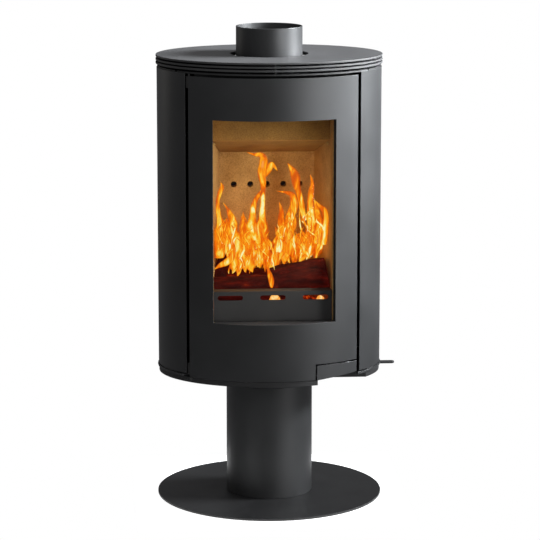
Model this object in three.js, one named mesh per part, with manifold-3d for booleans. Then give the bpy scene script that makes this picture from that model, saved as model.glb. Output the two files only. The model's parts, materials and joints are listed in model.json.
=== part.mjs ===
// Wood burning stove: an oval steel body with a hinged, curved glass door, on a round pedestal.
// Millimetres, +Z up, the front faces -Y, and the origin is the middle of the foot on the floor.
import * as THREE from 'three';
import { mergeVertices } from 'three/addons/utils/BufferGeometryUtils.js';
import Module from 'manifold-3d';

const wasm = await Module();
wasm.setup();

// ---------- Driving dimensions ----------
const FIT = 0.3;                       // gap left between pieces that rest on each other
const FAR = 400;                       // reach of a cutting block that goes right through
const SKIN = { a: 254, b: 199 };       // half width and half depth of the oval outer skin
const RIM = { a: 256, b: 201 };        // oval of the top plate, louvres and bottom plate
const SHEET = 2;                       // thickness of the outer sheets
const CURVE_STEPS = 30;                // steps per half turn of an oval

const FOOT = { radius: 258, height: 5 };
const COLUMN = { radius: 98.5, wall: 3, top: 291.2, lid: 5, bore: 60 };
const SEAM = { low: 265, high: 271, proud: 0.6 };        // raised ring where the column's head begins

const AIR_BOX = { a: 253, b: 197, low: 291.5, high: 303, floor: 2.5, wall: 2.5, inlet: 50 };
const NOTCH = { left: 96.5, back: -107 };                // finger notch under the handle
const BOTTOM_PLATE = { low: 303.3, high: 308.3, lip: 4, lipHigh: 316, inlet: 40 };

const PANEL = { low: 311, high: 990, frontEdge: 195.4, rearEdge: 150, rearGap: 1.5 };
const VENTS = { half: 70, height: 6, low: [345, 365, 385, 405, 425] };  // slots across the rear panel
const REAR_SCREW = { radius: 4.5, height: 2.4, inset: 10, heights: [332, 972] };
const DECK = { low: 989, high: 992.7, frontEdge: 194.6 };
const DECK_SLOT = { near: 185, far: 215, half: 30, pitch: 75 };          // air slots along both sides
const LOUVRES = [{ low: 997.3, high: 1001.9 }, { low: 1005.4, high: 1009.5 }];
const LOUVRE_WIDTH = 40;
const POST = { radius: 3, inset: 6.5, low: 993, high: 1013 };
const TOP_PLATE = { low: 1013.4, high: 1018, holeRadius: 87.5 };
const COLLAR = { radius: 75, wall: 3, flangeRadius: 95, flange: 3, low: 993, high: 1080 };
const BOLT = { circle: 85, radius: 6, height: 5, count: 4 };             // hold the collar's flange down

const DOOR = { half: 188.6, low: 304, high: 983.5 };
const WINDOW = { half: 136.5, low: 434, high: 889 };
const GLASS = { front: -158, thickness: 4, overlap: 9 };
const DOOR_FRAME = { half: 176, low: 307, high: 980, front: -137, back: -133 };
const GLASS_SEAT = { front: -151, lip: 3.5 };            // the frame's return that carries the glass
const DOOR_SEAL = { half: 149, low: 309, high: 925, width: 10 };
const HINGE = { x: -186.1, y: -129.2, pin: 2.5, eye: 7, play: 0.1, eyeHeight: 26, legEnd: -152 };

const HANDLE = { left: 94.5, low: 303, lowRight: 311.5, high: 336.5, gap: 3.2 };
const HANDLE_AXIS = { below: 2.5, behind: 2.9, shaft: 2.5, half: 36, play: 0.1 };
const BRACKET = { starts: { left: -31, right: 19 }, width: 3, front: -3.3, half: 8 };  // along the shaft
const TAB = { starts: [-24, 12], width: 3, front: -12, back: 3, low: -15 };
const SPRING = { radius: 4.2, start: -16, end: 2 };
const LATCH = { x: 166.5, width: 4, height: 9, root: -138, reach: -117, tip: 4, nose: 3 };
const LATCH_SLOT = { half: 4.5, low: 317, high: 345 };                   // through the front frame
const LATCH_PASS = { half: 5.5, low: 315, high: 350 };                   // through the door frame

const FRONT_FRAME = { half: 174, front: -128, back: -124 };
const FIRE_OPENING = { half: 135.5, low: 424, high: 905 };
const ASH_OPENING = { half: 122, low: 317, high: 404 };
const BRICK = 25;
const HEARTH = {                                         // inner plan of the firebox lining
  front: { x: 133.5, y: -123.4 },
  bend: { x: 133.5, y: -60 },
  back: { x: 110, y: 80 },
  floor: 440,
  top: 930,
};
const FLOOR_PLATE = { low: 411, high: 414 };
const BAFFLE = { backZ: 782, frontZ: 828, frontY: -60, top: 905, thickness: 25 };
const PEG = { size: 6, drop: 5.5, setBack: 4, wallGap: 2 };              // blocks that the baffle rests on
const AIR_HOLES = { count: 5, pitch: 38, radius: 7, z: 707 };
const GUARD = { front: -123, plate: 4, high: 496, lip: 30, lipPlate: 3, sideGap: 0.7 };
const GUARD_SLOT = { pitch: 96, length: 57.5, height: 11, z: 481 };
const GRATE = { halfX: 80, frontY: -55, backY: 65, plate: 12, rim: 10, bars: 9, slot: 8, ledge: 12 };
const ASH_PAN = { half: 112, front: -119, back: 96, low: 318, high: 380, wall: 2 };
const PAN_RUNNER = { x: 80, half: 4, inset: 4 };
const PAN_GRIP = { half: 35, reach: 4, plate: 2, low: 34, ledge: 22, high: 18 };  // heights below the rim

const LEVER = { x: 150, tip: 289, width: 18, taper: 5, low: 298.9, high: 302.8, hub: 12, pin: 4, play: 0.1 };
const LEVER_HEAD = { radius: 7, height: 2.7, sides: 6 };
const LEVER_MOUTH = { start: 210, half: 40, play: 1.4 };                 // opening in the air box's side
const VALVE = { radius: 32, low: 294.3, high: 296.3, holeCircle: 21, holeRadius: 4.5, holes: 5 };

// ---------- Finishes ----------
const finish = (color, roughness, metalness) =>
  new THREE.MeshStandardMaterial({ color, roughness, metalness });
const FINISHES = {
  paint: () => finish(0x26272a, 0.55, 0.3),
  darkPaint: () => finish(0x17181a, 0.7, 0.2),
  topPaint: () => finish(0x3a3b3d, 0.6, 0.3),
  castIron: () => finish(0x303032, 0.75, 0.5),
  zinc: () => finish(0x9a9c9e, 0.4, 0.9),
  vermiculite: () => finish(0xb98f55, 0.95, 0),
  rope: () => finish(0x8d8a84, 1, 0),
  glass: () => finish(0xdfe6e6, 0.05, 0),
};

// ---------- Solid helpers ----------
function toSolid(geometry) {
  const plain = geometry.clone();
  plain.deleteAttribute('normal');
  plain.deleteAttribute('uv');
  const merged = mergeVertices(plain, 1e-4);
  return new wasm.Manifold(new wasm.Mesh({
    numProp: 3,
    vertProperties: new Float32Array(merged.attributes.position.array),
    triVerts: new Uint32Array(merged.index.array),
  }));
}

function toGeometry(solid) {
  const mesh = solid.getMesh();
  const geometry = new THREE.BufferGeometry();
  geometry.setAttribute('position', new THREE.BufferAttribute(new Float32Array(mesh.vertProperties), 3));
  geometry.setIndex(new THREE.BufferAttribute(new Uint32Array(mesh.triVerts), 1));
  geometry.computeVertexNormals();
  return geometry;
}

function block(x0, x1, y0, y1, z0, z1) {
  const geometry = new THREE.BoxGeometry(x1 - x0, y1 - y0, z1 - z0);
  geometry.translate((x0 + x1) / 2, (y0 + y1) / 2, (z0 + z1) / 2);
  return toSolid(geometry);
}

function prism(shape, low, high, curveSegments = CURVE_STEPS) {
  const depth = high - low;
  const geometry = new THREE.ExtrudeGeometry(shape, { depth, bevelEnabled: false, curveSegments });
  geometry.translate(0, 0, low);
  return toSolid(geometry);
}

function rod(radius, low, high, x = 0, y = 0, sides = 24) {
  const geometry = new THREE.CylinderGeometry(radius, radius, high - low, sides);
  geometry.rotateX(Math.PI / 2);
  geometry.translate(x, y, (low + high) / 2);
  return toSolid(geometry);
}

function turned(profile, sides = 56) {
  const points = profile.map(([radius, z]) => new THREE.Vector2(radius, z));
  const geometry = new THREE.LatheGeometry(points, sides);
  geometry.rotateX(Math.PI / 2);
  return toSolid(geometry);
}

function ring(inner, outer, low, high, sides = 56) {
  return turned([[inner, low], [outer, low], [outer, high], [inner, high], [inner, low]], sides);
}

function ovalShape(a, b) {
  const shape = new THREE.Shape();
  shape.absellipse(0, 0, a, b, 0, 2 * Math.PI);
  return shape;
}

function polygonShape(points) {
  return new THREE.Shape(points.map(([x, y]) => new THREE.Vector2(x, y)));
}

const ovalPlate = (a, b, low, high) => prism(ovalShape(a, b), low, high);

const ovalSheet = (low, high) =>
  ovalPlate(SKIN.a, SKIN.b, low, high).subtract(ovalPlate(SKIN.a - SHEET, SKIN.b - SHEET, low - 1, high + 1));

const frameRing = (outerHalf, innerHalf, y0, y1, z0, z1, inset) =>
  block(-outerHalf, outerHalf, y0, y1, z0, z1)
    .subtract(block(-innerHalf, innerHalf, y0 - 1, y1 + 1, z0 + inset, z1 - inset));

const mirrored = (points) => [...points, ...points.map(([x, y]) => [-x, y]).reverse()];

// ---------- Scene assembly ----------
const stove = new THREE.Group();

function addGroup(parent, x = 0, y = 0, z = 0) {
  const group = new THREE.Group();
  group.position.set(x, y, z);
  parent.add(group);
  return group;
}

function addPiece(parent, name, solid, finishName, x = 0, y = 0, z = 0) {
  const mesh = new THREE.Mesh(toGeometry(solid), FINISHES[finishName]());
  mesh.name = name;
  mesh.position.set(x, y, z);
  parent.add(mesh);
  return mesh;
}

// ---------- Pedestal ----------
const pedestal = addGroup(stove);
const footEdge = 0.8;
addPiece(pedestal, 'base_plate', turned([
  [0, 0], [FOOT.radius, 0], [FOOT.radius, FOOT.height - footEdge],
  [FOOT.radius - footEdge, FOOT.height], [0, FOOT.height],
]), 'darkPaint');
const columnInner = COLUMN.radius - COLUMN.wall;
addPiece(pedestal, 'pedestal_column',
  ring(columnInner, COLUMN.radius, FOOT.height + FIT, SEAM.low), 'paint');
addPiece(pedestal, 'column_seam_ring',
  ring(COLUMN.bore, COLUMN.radius + SEAM.proud, SEAM.low + FIT, SEAM.high), 'paint');
const headLow = SEAM.high + FIT;
const lidLow = COLUMN.top - COLUMN.lid;
addPiece(pedestal, 'column_head', turned([
  [columnInner, headLow], [COLUMN.radius, headLow], [COLUMN.radius, COLUMN.top],
  [COLUMN.bore, COLUMN.top], [COLUMN.bore, lidLow], [columnInner, lidLow], [columnInner, headLow],
]), 'paint');

// ---------- Body: air box, bottom plate, outer panels, top deck ----------
const body = addGroup(stove);

function airBoxOutline(inset, low, high) {
  const notch = block(NOTCH.left - inset, FAR, -FAR, NOTCH.back + inset, low - 1, high + 1);
  return ovalPlate(AIR_BOX.a - inset, AIR_BOX.b - inset, low, high).subtract(notch);
}

function valveHoles(startAngle, low, high) {
  let holes = null;
  for (let i = 0; i < VALVE.holes; i += 1) {
    const angle = startAngle + (i * 2 * Math.PI) / VALVE.holes;
    const x = LEVER.x + VALVE.holeCircle * Math.cos(angle);
    const y = VALVE.holeCircle * Math.sin(angle);
    const hole = rod(VALVE.holeRadius, low, high, x, y, 12);
    holes = holes ? holes.add(hole) : hole;
  }
  return holes;
}

function airBox() {
  const floorTop = AIR_BOX.low + AIR_BOX.floor;
  const lipUnder = AIR_BOX.high - 2.2;                   // front lip that closes the box under the door
  const lipBack = -120;
  const bossLow = AIR_BOX.high - 7;                      // boss that carries the door's lower hinge pin
  const pocket = airBoxOutline(AIR_BOX.wall, floorTop, lipUnder);
  const upperPocket = airBoxOutline(AIR_BOX.wall, lipUnder - 0.1, AIR_BOX.high + 1)
    .intersect(block(-FAR, FAR, lipBack, FAR, lipUnder - 1, AIR_BOX.high + 2));
  return airBoxOutline(0, AIR_BOX.low, AIR_BOX.high)
    .subtract(pocket)
    .subtract(upperPocket)
    .subtract(block(LEVER_MOUTH.start, FAR, -LEVER_MOUTH.half, LEVER_MOUTH.half,
      LEVER.low - LEVER_MOUTH.play, AIR_BOX.high + 1))
    .subtract(rod(AIR_BOX.inlet, AIR_BOX.low - 1, floorTop + 1, 0, 0, 48))
    .subtract(rod(LEVER.pin + FIT, AIR_BOX.low - 1, floorTop + 1, LEVER.x, 0))
    .subtract(valveHoles(0.2, AIR_BOX.low - 1, floorTop + 1))
    .add(rod(HINGE.eye + 1, bossLow, AIR_BOX.high, HINGE.x, HINGE.y))
    .subtract(rod(HINGE.pin + FIT, bossLow - 1, AIR_BOX.high + 1, HINGE.x, HINGE.y));
}
addPiece(body, 'air_box', airBox(), 'darkPaint');

const INSIDE = { a: SKIN.a - SHEET - 0.5, b: SKIN.b - SHEET - 0.5 };        // oval just inside the sheets

function bottomPlate() {
  const { low, high, lip, lipHigh, inlet } = BOTTOM_PLATE;
  const sideCut = DOOR.half + 3;
  const hingeCut = 170;
  const swingCut = 210;                                  // clears the skin's edge as the door swings
  const doorBack = -130;
  const cornerBack = -118;
  const lipFront = -100;
  const locatingLip = ovalPlate(INSIDE.a, INSIDE.b, high - 1, lipHigh)
    .subtract(ovalPlate(INSIDE.a - lip, INSIDE.b - lip, high - 2, lipHigh + 1))
    .intersect(block(-FAR, FAR, lipFront, FAR, high - 2, lipHigh + 1));
  return ovalPlate(RIM.a, RIM.b, low, high)
    .subtract(block(-sideCut, sideCut, -FAR, doorBack, low - 1, high + 1))
    .subtract(block(-swingCut, -hingeCut, -FAR, cornerBack, low - 1, high + 1))
    .subtract(block(hingeCut, sideCut, -FAR, cornerBack, low - 1, high + 1))
    .subtract(rod(inlet, low - 1, high + 1))
    .add(locatingLip);
}
addPiece(body, 'bottom_plate', bottomPlate(), 'paint');

const sheetOval = ovalSheet(PANEL.low, PANEL.high);
const sideSheets = sheetOval
  .subtract(block(-PANEL.frontEdge, PANEL.frontEdge, -FAR, 0, PANEL.low - 1, PANEL.high + 1))
  .subtract(block(-PANEL.rearEdge, PANEL.rearEdge, 0, FAR, PANEL.low - 1, PANEL.high + 1));
addPiece(body, 'side_panel_left',
  sideSheets.intersect(block(-FAR, 0, -FAR, FAR, PANEL.low - 1, PANEL.high + 1)), 'paint');
addPiece(body, 'side_panel_right',
  sideSheets.intersect(block(0, FAR, -FAR, FAR, PANEL.low - 1, PANEL.high + 1)), 'paint');

const rearHalf = PANEL.rearEdge - PANEL.rearGap;
function rearPanel() {
  let panel = sheetOval.intersect(block(-rearHalf, rearHalf, 0, FAR, PANEL.low - 1, PANEL.high + 1));
  for (const z of VENTS.low) {
    panel = panel.subtract(block(-VENTS.half, VENTS.half, 0, FAR, z, z + VENTS.height));
  }
  return panel;
}
addPiece(body, 'rear_panel', rearPanel(), 'paint');

const rearScrewX = rearHalf - REAR_SCREW.inset;
const screwGeometry = new THREE.CylinderGeometry(REAR_SCREW.radius, REAR_SCREW.radius, REAR_SCREW.height, 20);
let screwCount = 0;
for (const z of REAR_SCREW.heights) {
  for (const x of [-rearScrewX, rearScrewX]) {
    const y = SKIN.b * Math.sqrt(1 - (x / SKIN.a) ** 2);
    const outward = new THREE.Vector3(x / SKIN.a ** 2, y / SKIN.b ** 2, 0).normalize();
    const centre = new THREE.Vector3(x, y, z).addScaledVector(outward, FIT + REAR_SCREW.height / 2);
    screwCount += 1;
    const screw = addPiece(body, `rear_screw_${screwCount}`, toSolid(screwGeometry), 'zinc', ...centre);
    screw.quaternion.setFromUnitVectors(new THREE.Vector3(0, 1, 0), outward);
  }
}

function topDeck() {
  const { low, high, frontEdge } = DECK;
  const inner = ovalPlate(INSIDE.a, INSIDE.b, low, high);
  const nose = ovalPlate(SKIN.a, SKIN.b, low, high)
    .intersect(block(-frontEdge, frontEdge, -FAR, -100, low - 1, high + 1));
  let deck = inner.add(nose)
    .subtract(rod(COLLAR.radius - COLLAR.wall - 2, low - 1, high + 1, 0, 0, 48))
    .subtract(rod(HINGE.pin + FIT, low - 1, high + 1, HINGE.x, HINGE.y));
  for (const side of [-1, 1]) {
    for (const y of [-DECK_SLOT.pitch, 0, DECK_SLOT.pitch]) {
      const reach = [side * DECK_SLOT.near, side * DECK_SLOT.far];
      deck = deck.subtract(block(Math.min(...reach), Math.max(...reach),
        y - DECK_SLOT.half, y + DECK_SLOT.half, low - 1, high + 1));
    }
  }
  return deck;
}
addPiece(body, 'top_deck', topDeck(), 'darkPaint');

// ---------- Louvred top and flue collar ----------
const top = addGroup(stove);
const postSpots = [
  [0, -(RIM.b - POST.inset)], [RIM.a - POST.inset, 0], [0, RIM.b - POST.inset], [-(RIM.a - POST.inset), 0],
];

function louvreRing({ low, high }) {
  let plate = ovalPlate(RIM.a, RIM.b, low, high)
    .subtract(ovalPlate(RIM.a - LOUVRE_WIDTH, RIM.b - LOUVRE_WIDTH, low - 1, high + 1));
  for (const [x, y] of postSpots) {
    plate = plate.subtract(rod(POST.radius + FIT, low - 1, high + 1, x, y, 16));
  }
  return plate;
}
addPiece(top, 'louvre_ring_lower', louvreRing(LOUVRES[0]), 'topPaint');
addPiece(top, 'louvre_ring_upper', louvreRing(LOUVRES[1]), 'topPaint');
postSpots.forEach(([x, y], i) => {
  addPiece(top, `louvre_post_${i + 1}`, rod(POST.radius, POST.low, POST.high, 0, 0, 16), 'darkPaint', x, y);
});
addPiece(top, 'top_plate',
  ovalPlate(RIM.a, RIM.b, TOP_PLATE.low, TOP_PLATE.high)
    .subtract(rod(TOP_PLATE.holeRadius, TOP_PLATE.low - 1, TOP_PLATE.high + 1, 0, 0, 60)), 'topPaint');
const collarInner = COLLAR.radius - COLLAR.wall;
addPiece(top, 'flue_collar', turned([
  [collarInner, COLLAR.low], [COLLAR.flangeRadius, COLLAR.low],
  [COLLAR.flangeRadius, COLLAR.low + COLLAR.flange], [COLLAR.radius, COLLAR.low + COLLAR.flange],
  [COLLAR.radius, COLLAR.high], [collarInner, COLLAR.high], [collarInner, COLLAR.low],
], 60), 'paint');
const boltLow = COLLAR.low + COLLAR.flange + FIT;
for (let i = 0; i < BOLT.count; i += 1) {
  const angle = ((i + 0.5) * 2 * Math.PI) / BOLT.count;
  addPiece(top, `collar_bolt_${i + 1}`, rod(BOLT.radius, boltLow, boltLow + BOLT.height, 0, 0, 6), 'zinc',
    BOLT.circle * Math.cos(angle), BOLT.circle * Math.sin(angle));
}

// ---------- Firebox: steel shell, front frame, floor plate ----------
const firebox = addGroup(stove);

const wallRun = new THREE.Vector2(HEARTH.back.x - HEARTH.bend.x, HEARTH.back.y - HEARTH.bend.y).normalize();
const wallOut = new THREE.Vector2(wallRun.y, -wallRun.x);

// Plan line of the lining moved outward by an offset, on the +X side, from front to back.
function liningLine(offset, frontY, backY) {
  const onWall = (y) => {
    const start = new THREE.Vector2(HEARTH.bend.x, HEARTH.bend.y).addScaledVector(wallOut, offset);
    return start.x + ((y - start.y) * wallRun.x) / wallRun.y;
  };
  const straightX = HEARTH.front.x + offset;
  const startY = HEARTH.bend.y + wallOut.y * offset;
  const startX = HEARTH.bend.x + wallOut.x * offset;
  const bendY = startY + ((straightX - startX) * wallRun.y) / wallRun.x;
  return [[straightX, frontY], [straightX, bendY], [onWall(backY), backY]];
}

const shellPlay = 0.5;
const shellWall = 3;
const shellBack = HEARTH.back.y + BRICK + shellPlay;
const shellTop = DECK.low - FIT;
const shellLow = BOTTOM_PLATE.high + FIT;
const shellLine = BRICK + shellPlay;
const shellOuter = polygonShape(mirrored(
  liningLine(shellLine + shellWall, HEARTH.front.y, shellBack + shellWall)));
const shellInner = polygonShape(mirrored(liningLine(shellLine, HEARTH.front.y - 1, shellBack)));
addPiece(firebox, 'firebox_shell',
  prism(shellOuter, shellLow, shellTop).subtract(prism(shellInner, shellLow - 1, shellTop + 1)), 'darkPaint');

function frontFrame() {
  const { half, front, back } = FRONT_FRAME;
  return block(-half, half, front, back, shellLow, shellTop)
    .subtract(block(-FIRE_OPENING.half, FIRE_OPENING.half, front - 1, back + 1,
      FIRE_OPENING.low, FIRE_OPENING.high))
    .subtract(block(-ASH_OPENING.half, ASH_OPENING.half, front - 1, back + 1,
      ASH_OPENING.low, ASH_OPENING.high))
    .subtract(block(LATCH.x - LATCH_SLOT.half, LATCH.x + LATCH_SLOT.half, front - 1, back + 1,
      LATCH_SLOT.low, LATCH_SLOT.high));
}
addPiece(firebox, 'front_frame', frontFrame(), 'darkPaint');

const plateShape = polygonShape(mirrored(liningLine(BRICK, HEARTH.front.y, shellBack - shellPlay)));
const ashHole = GRATE.halfX - GRATE.ledge;
addPiece(firebox, 'firebox_floor',
  prism(plateShape, FLOOR_PLATE.low, FLOOR_PLATE.high)
    .subtract(block(-ashHole, ashHole, GRATE.frontY + GRATE.ledge, GRATE.backY - GRATE.ledge,
      FLOOR_PLATE.low - 1, FLOOR_PLATE.high + 1)), 'darkPaint');

// ---------- Firebox lining, grate, guard and ash pan ----------
const liningLow = FLOOR_PLATE.high + FIT;
function sideBrick(side) {
  const inner = liningLine(0, HEARTH.front.y, HEARTH.back.y + BRICK);
  const outer = liningLine(BRICK, HEARTH.front.y, HEARTH.back.y + BRICK);
  const outline = [...inner, ...outer.reverse()].map(([x, y]) => [side * x, y]);
  return prism(polygonShape(outline), liningLow, HEARTH.top);
}
addPiece(firebox, 'side_brick_left', sideBrick(-1), 'vermiculite');
addPiece(firebox, 'side_brick_right', sideBrick(1), 'vermiculite');

function backBrick() {
  const edge = liningLine(-FIT, HEARTH.back.y, HEARTH.back.y + BRICK);
  const [frontX] = liningLine(-FIT, HEARTH.front.y, HEARTH.back.y)[2];
  const [backX, backY] = edge[2];
  const outline = mirrored([[frontX, HEARTH.back.y], [backX, backY]]);
  const behindBaffle = 30;
  let brick = prism(polygonShape(outline), liningLow, BAFFLE.backZ + behindBaffle);
  for (let i = 0; i < AIR_HOLES.count; i += 1) {
    const x = (i - (AIR_HOLES.count - 1) / 2) * AIR_HOLES.pitch;
    const hole = new THREE.CylinderGeometry(AIR_HOLES.radius, AIR_HOLES.radius, 4 * BRICK, 20);
    hole.translate(x, HEARTH.back.y, AIR_HOLES.z);
    brick = brick.subtract(toSolid(hole));
  }
  return brick;
}
addPiece(firebox, 'back_brick', backBrick(), 'vermiculite');

const guardBack = GUARD.front + GUARD.plate;
function floorBrick(side) {
  const [frontCorner, bend, backCorner] = liningLine(-FIT, guardBack + FIT, HEARTH.back.y - FIT);
  const outline = [[1, frontCorner[1]], frontCorner, bend, backCorner, [1, backCorner[1]]];
  const shape = polygonShape(outline.map(([x, y]) => [side * x, y]));
  return prism(shape, liningLow, HEARTH.floor)
    .subtract(block(-GRATE.halfX - FIT, GRATE.halfX + FIT, GRATE.frontY - FIT, GRATE.backY + FIT,
      liningLow - 1, HEARTH.floor + 1));
}
addPiece(firebox, 'floor_brick_left', floorBrick(-1), 'vermiculite');
addPiece(firebox, 'floor_brick_right', floorBrick(1), 'vermiculite');

// The baffle slopes up from the back brick and turns up at its front edge, above the window.
function baffle() {
  const backY = HEARTH.back.y - FIT;
  const slope = (BAFFLE.frontZ - BAFFLE.backZ) / (backY - BAFFLE.frontY);
  const rise = BAFFLE.thickness * Math.sqrt(1 + slope ** 2);
  const innerY = BAFFLE.frontY + BAFFLE.thickness;
  const profile = [
    [backY, BAFFLE.backZ], [backY, BAFFLE.backZ + rise],
    [innerY, BAFFLE.backZ + rise + (backY - innerY) * slope], [innerY, BAFFLE.top],
    [BAFFLE.frontY, BAFFLE.top], [BAFFLE.frontY, BAFFLE.frontZ],
  ];
  const width = 2 * HEARTH.front.x;
  const geometry = new THREE.ExtrudeGeometry(polygonShape(profile), { depth: width, bevelEnabled: false });
  const basis = new THREE.Matrix4().makeBasis(
    new THREE.Vector3(0, 1, 0), new THREE.Vector3(0, 0, 1), new THREE.Vector3(1, 0, 0));
  geometry.applyMatrix4(basis);
  geometry.translate(-width / 2, 0, 0);
  const plan = polygonShape(mirrored(liningLine(-0.5, HEARTH.front.y, HEARTH.back.y)));
  return toSolid(geometry).intersect(prism(plan, BAFFLE.backZ - 10, BAFFLE.top + 10));
}
addPiece(firebox, 'baffle', baffle(), 'vermiculite');
for (const [name, side] of [['baffle_peg_left', -1], ['baffle_peg_right', 1]]) {
  const pegTop = BAFFLE.frontZ - PEG.drop;
  const outer = side * (HEARTH.front.x - PEG.wallGap);
  const inner = outer - side * PEG.size;
  const pegFront = BAFFLE.frontY + PEG.setBack;
  addPiece(firebox, name,
    block(Math.min(inner, outer), Math.max(inner, outer), pegFront, pegFront + PEG.size,
      pegTop - PEG.size, pegTop),
    'vermiculite');
}

function grate() {
  const { halfX, frontY, backY, plate, rim, bars, slot } = GRATE;
  const slotInset = rim + 2;
  let casting = block(-halfX, halfX, frontY, backY, liningLow, HEARTH.floor)
    .subtract(block(-halfX + rim, halfX - rim, frontY + rim, backY - rim,
      liningLow - 1, HEARTH.floor - plate));
  const pitch = (2 * (halfX - rim)) / bars;
  for (let i = 0; i < bars; i += 1) {
    const x = -halfX + rim + (i + 0.5) * pitch;
    casting = casting.subtract(block(x - slot / 2, x + slot / 2, frontY + slotInset, backY - slotInset,
      liningLow, HEARTH.floor + 1));
  }
  return casting;
}
addPiece(firebox, 'grate', grate(), 'castIron');

function logGuard() {
  const { front, high, lip, lipPlate, plate, sideGap } = GUARD;
  const { pitch, length, height, z } = GUARD_SLOT;
  const half = HEARTH.front.x - sideGap;
  const radius = height / 2;
  const straight = length / 2 - radius;
  let guard = block(-half, half, front, guardBack, liningLow, high)
    .add(block(-half, half, front, front + lip, high - lipPlate, high));
  for (const i of [-1, 0, 1]) {
    guard = guard.subtract(block(i * pitch - straight, i * pitch + straight, front - 1, guardBack + 1,
      z - radius, z + radius));
    for (const end of [-1, 1]) {
      const round = new THREE.CylinderGeometry(radius, radius, plate + 2, 20);
      round.translate(i * pitch + end * straight, front + plate / 2, z);
      guard = guard.subtract(toSolid(round));
    }
  }
  return guard;
}
addPiece(firebox, 'log_guard', logGuard(), 'paint');

function ashPan() {
  const { half, front, back, low, high, wall } = ASH_PAN;
  let pan = block(-half, half, front, back, low, high)
    .subtract(block(-half + wall, half - wall, front + wall, back - wall, low + wall, high + 1));
  for (const x of [-PAN_RUNNER.x, PAN_RUNNER.x]) {
    pan = pan.add(block(x - PAN_RUNNER.half, x + PAN_RUNNER.half,
      front + PAN_RUNNER.inset, back - PAN_RUNNER.inset, shellLow, low + 1));
  }
  const gripFront = front - PAN_GRIP.reach;
  const gripTop = high - PAN_GRIP.high;
  const grip = block(-PAN_GRIP.half, PAN_GRIP.half, gripFront, front + 1, high - PAN_GRIP.ledge, gripTop)
    .add(block(-PAN_GRIP.half, PAN_GRIP.half, gripFront, gripFront + PAN_GRIP.plate,
      high - PAN_GRIP.low, gripTop));
  return pan.add(grip);
}
addPiece(firebox, 'ash_pan', ashPan(), 'paint');

// ---------- Door ----------
const door = addGroup(stove);
const skinInner = { a: SKIN.a - SHEET, b: SKIN.b - SHEET };
const behindSkin = (low, high) => ovalPlate(skinInner.a - FIT, skinInner.b - FIT, low, high);

function doorSkin() {
  const { half, low, high } = DOOR;
  return ovalSheet(low, high)
    .intersect(block(-half, half, -FAR, 0, low - 1, high + 1))
    .subtract(block(-WINDOW.half, WINDOW.half, -FAR, 0, WINDOW.low, WINDOW.high))
    .subtract(block(HANDLE.left - HANDLE.gap, FAR, -FAR, 0, low - 1, HANDLE.high + HANDLE.gap));
}
addPiece(door, 'door_skin', doorSkin(), 'paint');

const seatHalf = WINDOW.half + GLASS.overlap;
const seatLow = WINDOW.low - GLASS.overlap;
const seatHigh = WINDOW.high + GLASS.overlap;
const lookHalf = WINDOW.half + GLASS_SEAT.lip;
const lookLow = WINDOW.low - GLASS_SEAT.lip;
const lookHigh = WINDOW.high + GLASS_SEAT.lip;

function doorFrame() {
  const { half, low, high, front, back } = DOOR_FRAME;
  const latchPass = block(LATCH.x - LATCH_PASS.half, LATCH.x + LATCH_PASS.half, -FAR, 0,
    LATCH_PASS.low, LATCH_PASS.high);
  return block(-half, half, front, back, low, high)
    .add(block(-seatHalf, seatHalf, GLASS_SEAT.front, front + 1, seatLow, seatHigh))
    .subtract(block(-lookHalf, lookHalf, -FAR, 0, lookLow, lookHigh))
    .subtract(latchPass);
}
addPiece(door, 'door_frame', doorFrame(), 'darkPaint');

const glassBack = GLASS.front + GLASS.thickness;
addPiece(door, 'door_glass', block(-seatHalf, seatHalf, GLASS.front, glassBack, seatLow, seatHigh), 'glass');
addPiece(door, 'glass_seal',
  block(-seatHalf, seatHalf, glassBack + FIT, GLASS_SEAT.front - FIT, seatLow, seatHigh)
    .subtract(block(-lookHalf, lookHalf, -FAR, 0, lookLow, lookHigh)), 'rope');

// The reveal lines the window between the curved skin and the flat glass, and holds the glass in.
const revealWall = 3;
addPiece(door, 'window_reveal',
  block(-WINDOW.half - revealWall, WINDOW.half + revealWall, -FAR, GLASS.front - FIT,
    WINDOW.low - revealWall, WINDOW.high + revealWall)
    .subtract(block(-WINDOW.half, WINDOW.half, -FAR - 1, 0, WINDOW.low, WINDOW.high))
    .intersect(behindSkin(WINDOW.low - 10, WINDOW.high + 10)), 'darkPaint');
addPiece(door, 'door_seal',
  frameRing(DOOR_SEAL.half, DOOR_SEAL.half - DOOR_SEAL.width, DOOR_FRAME.back + FIT, FRONT_FRAME.front - FIT,
    DOOR_SEAL.low, DOOR_SEAL.high, DOOR_SEAL.width / 1.25), 'rope');

function hingeEye(low, high) {
  return rod(HINGE.eye, low, high, HINGE.x, HINGE.y)
    .add(block(HINGE.x, HINGE.legEnd, DOOR_FRAME.back + FIT, FRONT_FRAME.front - 1, low, high))
    .intersect(behindSkin(low - 1, high + 1))
    .subtract(rod(HINGE.pin + HINGE.play, low - 1, high + 1, HINGE.x, HINGE.y));
}
const upperEye = { low: DOOR.high - 1 - HINGE.eyeHeight, high: DOOR.high - 1 };
const lowerEye = { low: BOTTOM_PLATE.high + 1, high: BOTTOM_PLATE.high + 1 + HINGE.eyeHeight };
addPiece(door, 'hinge_eye_upper', hingeEye(upperEye.low, upperEye.high), 'castIron');
addPiece(door, 'hinge_eye_lower', hingeEye(lowerEye.low, lowerEye.high), 'castIron');
const pinInset = 4;
const pinFoot = AIR_BOX.high - 6.5;
addPiece(body, 'hinge_pin_upper',
  rod(HINGE.pin, upperEye.low + pinInset, DECK.high), 'castIron', HINGE.x, HINGE.y);
addPiece(body, 'hinge_pin_lower',
  rod(HINGE.pin, pinFoot, lowerEye.high - pinInset), 'castIron', HINGE.x, HINGE.y);

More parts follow.
